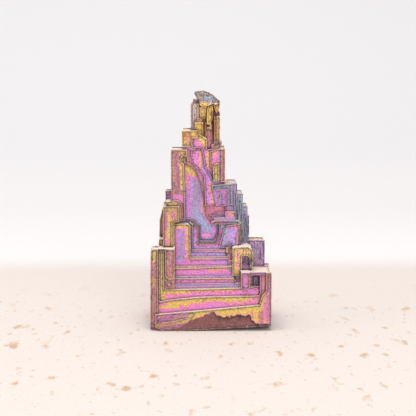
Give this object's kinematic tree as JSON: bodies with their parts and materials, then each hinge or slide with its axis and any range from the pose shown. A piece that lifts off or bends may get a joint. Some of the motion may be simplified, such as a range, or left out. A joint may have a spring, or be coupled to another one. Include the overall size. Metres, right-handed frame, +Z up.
{
  "type": "bismuth hopper crystal",
  "caption": "Free-standing tapered bismuth crystal with stepped, sunken square terraces, a rough broken tip and a flat base.",
  "frame": {"origin": "middle of the base on the surface that the crystal stands on", "axes": "+Z up towards the tip, -Y out of the widest stepped face, +X to the right seen from in front of that face"},
  "size_m": [0.0248, 0.018, 0.0486],
  "materials": {
    "bismuth": "satin"
  },
  "bodies": {
    "root": {"bismuth_crystal": "bismuth"}
  },
  "joints": []
}
